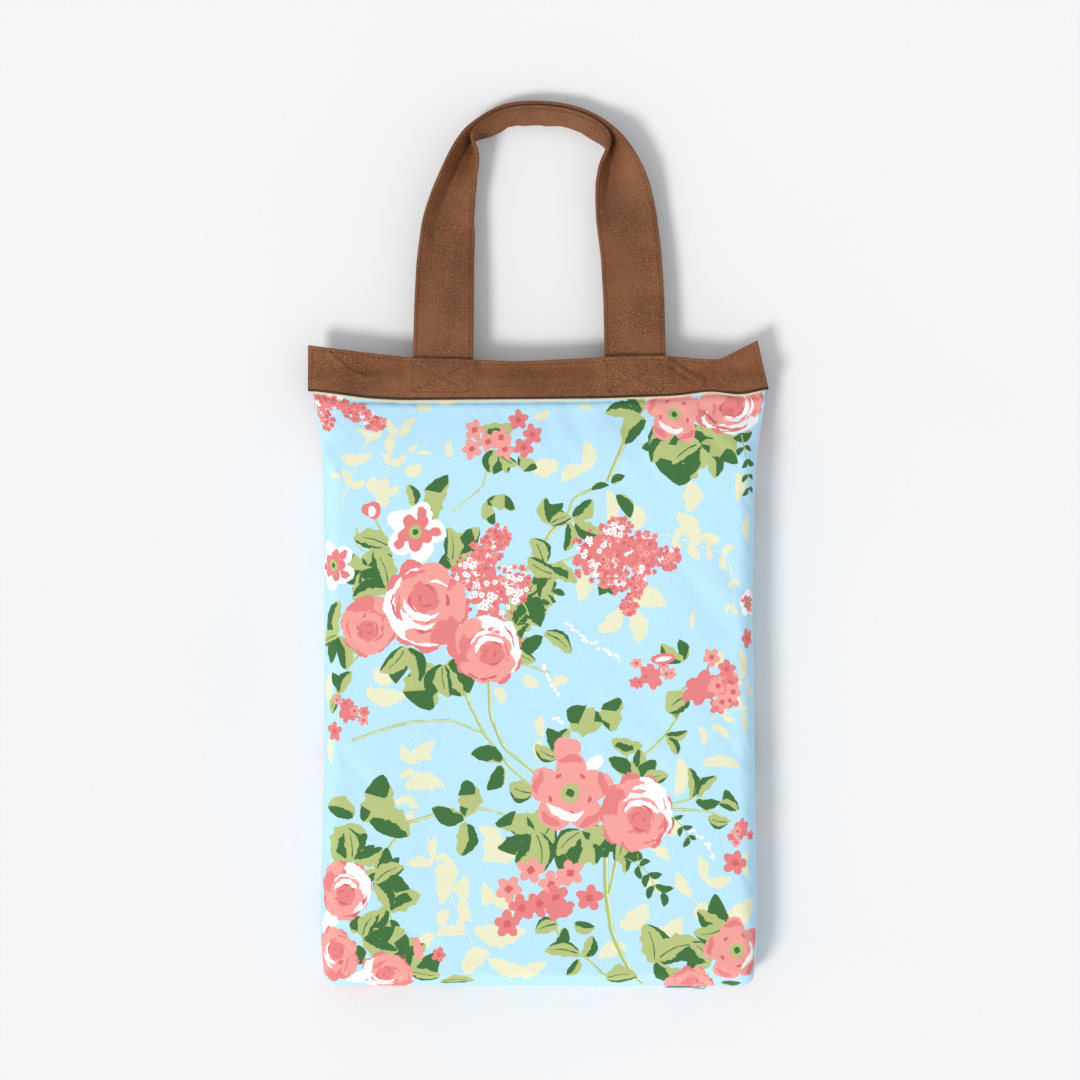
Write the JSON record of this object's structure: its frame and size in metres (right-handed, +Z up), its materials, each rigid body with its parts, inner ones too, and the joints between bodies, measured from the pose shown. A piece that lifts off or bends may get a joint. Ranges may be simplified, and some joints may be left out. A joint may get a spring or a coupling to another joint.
{
  "type": "kneeling pad",
  "caption": "Garden kneeling pad: foam slab in a floral sewn cover with a leather-look band, a strap carry handle and a zip in the end seam.",
  "frame": {"origin": "under the middle of the whole object, on the surface that the back panel lies on", "axes": "+X across the pad to the right, +Y from the zipped end towards the handle, +Z up out of the front panel"},
  "size_m": [0.319, 0.615, 0.038],
  "materials": {
    "print_fabric": "satin",
    "faux_leather": "satin",
    "edge_tape": "matte",
    "thread": "satin",
    "foam": "matte",
    "zip_tape": "matte",
    "zip_teeth": "satin",
    "zip_metal": "satin"
  },
  "bodies": {
    "pad": {"foam_core": "foam", "front_panel": "print_fabric", "back_panel": "print_fabric", "band_front": "faux_leather", "band_back": "faux_leather", "edge_tape_front": "edge_tape", "edge_tape_back": "edge_tape", "strap_tail_left": "faux_leather", "strap_tail_right": "faux_leather", "box_stitch_left": "thread", "box_stitch_right": "thread", "band_stitch": "thread", "zip_tape_upper": "zip_tape", "zip_tape_lower": "zip_tape", "zip_teeth_upper": "zip_teeth", "zip_teeth_lower": "zip_teeth", "zip_top_stops": "zip_metal", "zip_bottom_stop": "zip_metal"},
    "handle": {"handle_face": "faux_leather", "handle_lining": "faux_leather", "leg_stitch_left": "thread", "leg_stitch_right": "thread", "grip_stitch": "thread"},
    "zip_slider": {"zip_slider": "zip_metal"},
    "zip_pull": {"zip_pull": "zip_metal"}
  },
  "joints": [
    {"name": "handle_fold", "type": "hinge", "parent": "pad", "child": "handle", "pos_m": [0, 0.137, 0.019], "axis": [1, 0, 0], "range_deg": [-1, 138.5]},
    {"name": "zip_slide", "type": "slide", "parent": "pad", "child": "zip_slider", "axis": [-1, 0, 0], "range_m": [0, 0.222]},
    {"name": "pull_swing", "type": "hinge", "parent": "zip_slider", "child": "zip_pull", "pos_m": [0.112, -0.3062, 0.019], "axis": [0, 0, 1], "range_deg": [0, 180]}
  ]
}
